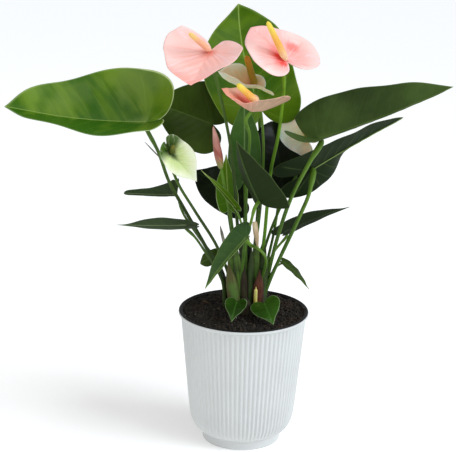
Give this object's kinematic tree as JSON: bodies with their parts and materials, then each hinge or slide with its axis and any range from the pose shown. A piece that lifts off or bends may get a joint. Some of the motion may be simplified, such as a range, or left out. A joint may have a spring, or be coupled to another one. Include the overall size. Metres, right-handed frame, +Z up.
{
  "type": "potted anthurium",
  "caption": "Anthurium plant with heart-shaped leaves and pale pink blooms, in soil in a black growing pot that hangs in a ribbed white pot.",
  "frame": {"origin": "centre of the white pot's foot, on the surface that it stands on", "axes": "+Z up, -Y towards the plant's front, +X to the right of someone who looks at the front"},
  "size_m": [0.4597, 0.1992, 0.464],
  "materials": {
    "leaf_green": "glossy leaf with paler veins and margin",
    "leaf_dark": "dark leaf, bluish sheen",
    "leaf_bright": "glossy bright green leaf with pale veins",
    "stem_green": "smooth green stem",
    "spathe_pink": "waxy pale pink, coral at the heart",
    "spathe_cream": "waxy cream, faded",
    "spathe_green": "waxy pale green, mottled",
    "spadix_yellow": "matt, beaded with florets",
    "spadix_olive": "matt, beaded with florets",
    "bud_pink": "waxy pink, green at the foot",
    "sheath": "dry papery sheath, olive to red-brown",
    "shoot": "smooth yellow-white young shoot",
    "soil": "moist crumbly potting soil with fibres",
    "black_plastic": "satin black moulded plastic",
    "white_pot": "matt white with fine upright ribs"
  },
  "bodies": {
    "root": {"leaf_far_left": "leaf_bright", "leaf_far_right": "leaf_green", "leaf_top_back": "leaf_bright", "leaf_back_left": "leaf_dark", "leaf_low_back": "leaf_dark", "leaf_front_upright": "leaf_dark", "leaf_right_folded": "leaf_green", "leaf_back_right": "leaf_dark", "leaf_back_centre": "leaf_bright", "leaf_low_right": "leaf_green", "leaf_left_spoon": "leaf_green", "leaf_low_left": "leaf_green", "leaf_front_hanging": "leaf_bright", "leaf_young_left": "leaf_dark", "leaf_young_right": "leaf_dark", "leaf_soil_left": "leaf_green", "leaf_soil_right": "leaf_green", "leaf_new_bright": "leaf_bright", "leaf_new_narrow": "leaf_bright", "petiole_far_left": "stem_green", "petiole_far_right": "stem_green", "petiole_top_back": "stem_green", "petiole_back_left": "stem_green", "petiole_low_back": "stem_green", "petiole_front_upright": "stem_green", "petiole_right_folded": "stem_green", "petiole_back_right": "stem_green", "petiole_back_centre": "stem_green", "petiole_low_right": "stem_green", "petiole_left_spoon": "stem_green", "petiole_low_left": "stem_green", "petiole_front_hanging": "stem_green", "spathe_left": "spathe_pink", "spathe_right": "spathe_pink", "spathe_centre": "spathe_pink", "spathe_faded": "spathe_cream", "spathe_green": "spathe_green", "spathe_cream": "spathe_cream", "spadix_left": "spadix_yellow", "spadix_right": "spadix_yellow", "spadix_centre": "spadix_yellow", "spadix_faded": "spadix_olive", "spadix_green": "spadix_yellow", "spadix_cream": "spadix_olive", "peduncle_left": "stem_green", "peduncle_right": "stem_green", "peduncle_centre": "stem_green", "peduncle_faded": "stem_green", "peduncle_green": "stem_green", "peduncle_cream": "stem_green", "bud": "bud_pink", "peduncle_bud": "stem_green", "sheath_left": "sheath", "sheath_right": "sheath", "bract": "sheath", "shoot": "shoot", "soil": "soil", "nursery_pot": "black_plastic", "outer_pot": "white_pot"}
  },
  "joints": []
}
